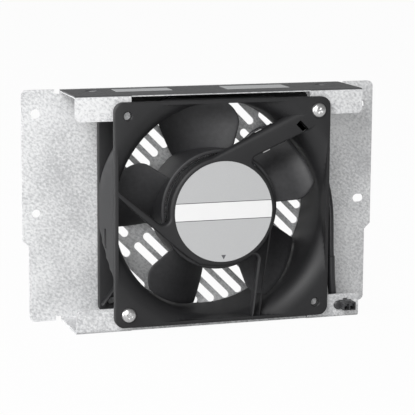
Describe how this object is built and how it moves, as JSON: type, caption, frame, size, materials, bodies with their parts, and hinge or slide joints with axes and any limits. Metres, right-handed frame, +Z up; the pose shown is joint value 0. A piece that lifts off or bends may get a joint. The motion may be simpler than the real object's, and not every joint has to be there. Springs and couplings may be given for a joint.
{
  "type": "cooling fan",
  "caption": "Square axial cooling fan with a cast frame and moulded impeller, on a folded galvanised bracket with vent slots, supply lead and panel connector.",
  "frame": {"origin": "on the fan's axis, at the rear face of the bracket's back plate", "axes": "+Y is the fan's axis and points out of the back plate's rear face, +Z is up, +X is to the right seen from the label side"},
  "size_m": [0.2002, 0.0432, 0.1256],
  "materials": {
    "galvanised_sheet": "galvanised, fine spangle",
    "black_casting": "satin black coated die casting",
    "label_film": "silver foil with a white band",
    "black_moulding": "satin moulded black",
    "bearing_steel": "polished",
    "brass": "turned",
    "bright_steel": "ground",
    "spring_steel": "rolled",
    "lamination_steel": "stacked laminations",
    "cast_aluminium": "as cast",
    "insulator_plastic": "moulded",
    "copper": "enamelled copper",
    "protector_plastic": "moulded",
    "board_green": "solder mask",
    "wire_sheath": "satin extruded sheath",
    "grommet_rubber": "moulded rubber",
    "connector_plastic": "moulded",
    "zinc_steel": "bright zinc",
    "sticker_film": "blank silver film"
  },
  "bodies": {
    "housing": {"bracket": "galvanised_sheet", "fan_frame": "black_casting", "fan_hub": "black_casting", "fan_barrel": "black_casting", "rear_flange": "black_casting", "hub_label": "label_film", "front_bearing_outer_ring": "bearing_steel", "rear_bearing_outer_ring": "bearing_steel", "preload_spring": "spring_steel", "stator_core": "lamination_steel", "stator_insulator": "insulator_plastic", "stator_coils": "copper", "shading_rings": "copper", "thermal_protector": "protector_plastic", "terminal_board": "board_green", "motor_leads": "wire_sheath", "lead_grommet": "grommet_rubber", "supply_lead": "wire_sheath", "lead_sleeve": "wire_sheath", "wire_clip": "spring_steel", "connector_housing": "connector_plastic", "connector_contacts": "brass", "connector_wires": "wire_sheath", "fan_screws": "zinc_steel", "clinch_nuts": "zinc_steel", "left_sticker": "sticker_film", "right_sticker": "sticker_film"},
    "rotor": {"impeller": "black_moulding", "rotor_cup": "bright_steel", "rotor_laminations": "lamination_steel", "rotor_cage": "cast_aluminium", "shaft_bush": "brass", "shaft": "bright_steel", "front_bearing_inner_ring": "bearing_steel", "rear_bearing_inner_ring": "bearing_steel", "retaining_clip": "spring_steel", "shim_washer": "bright_steel"},
    "front_balls": {"front_bearing_balls": "bearing_steel", "front_bearing_cage": "brass"},
    "rear_balls": {"rear_bearing_balls": "bearing_steel", "rear_bearing_cage": "brass"}
  },
  "joints": [
    {"name": "impeller_spin", "type": "hinge", "parent": "housing", "child": "rotor", "pos_m": [0, -0.0229, 0], "axis": [0, 1, 0], "continuous": true},
    {"name": "front_balls_spin", "type": "hinge", "parent": "housing", "child": "front_balls", "pos_m": [0, -0.0339, 0], "axis": [0, 1, 0], "continuous": true},
    {"name": "rear_balls_spin", "type": "hinge", "parent": "housing", "child": "rear_balls", "pos_m": [0, -0.0149, 0], "axis": [0, 1, 0], "continuous": true}
  ],
  "couplings": [
    {"joint": "front_balls_spin", "follows": "impeller_spin", "ratio": 0.3824},
    {"joint": "rear_balls_spin", "follows": "impeller_spin", "ratio": 0.3824}
  ]
}
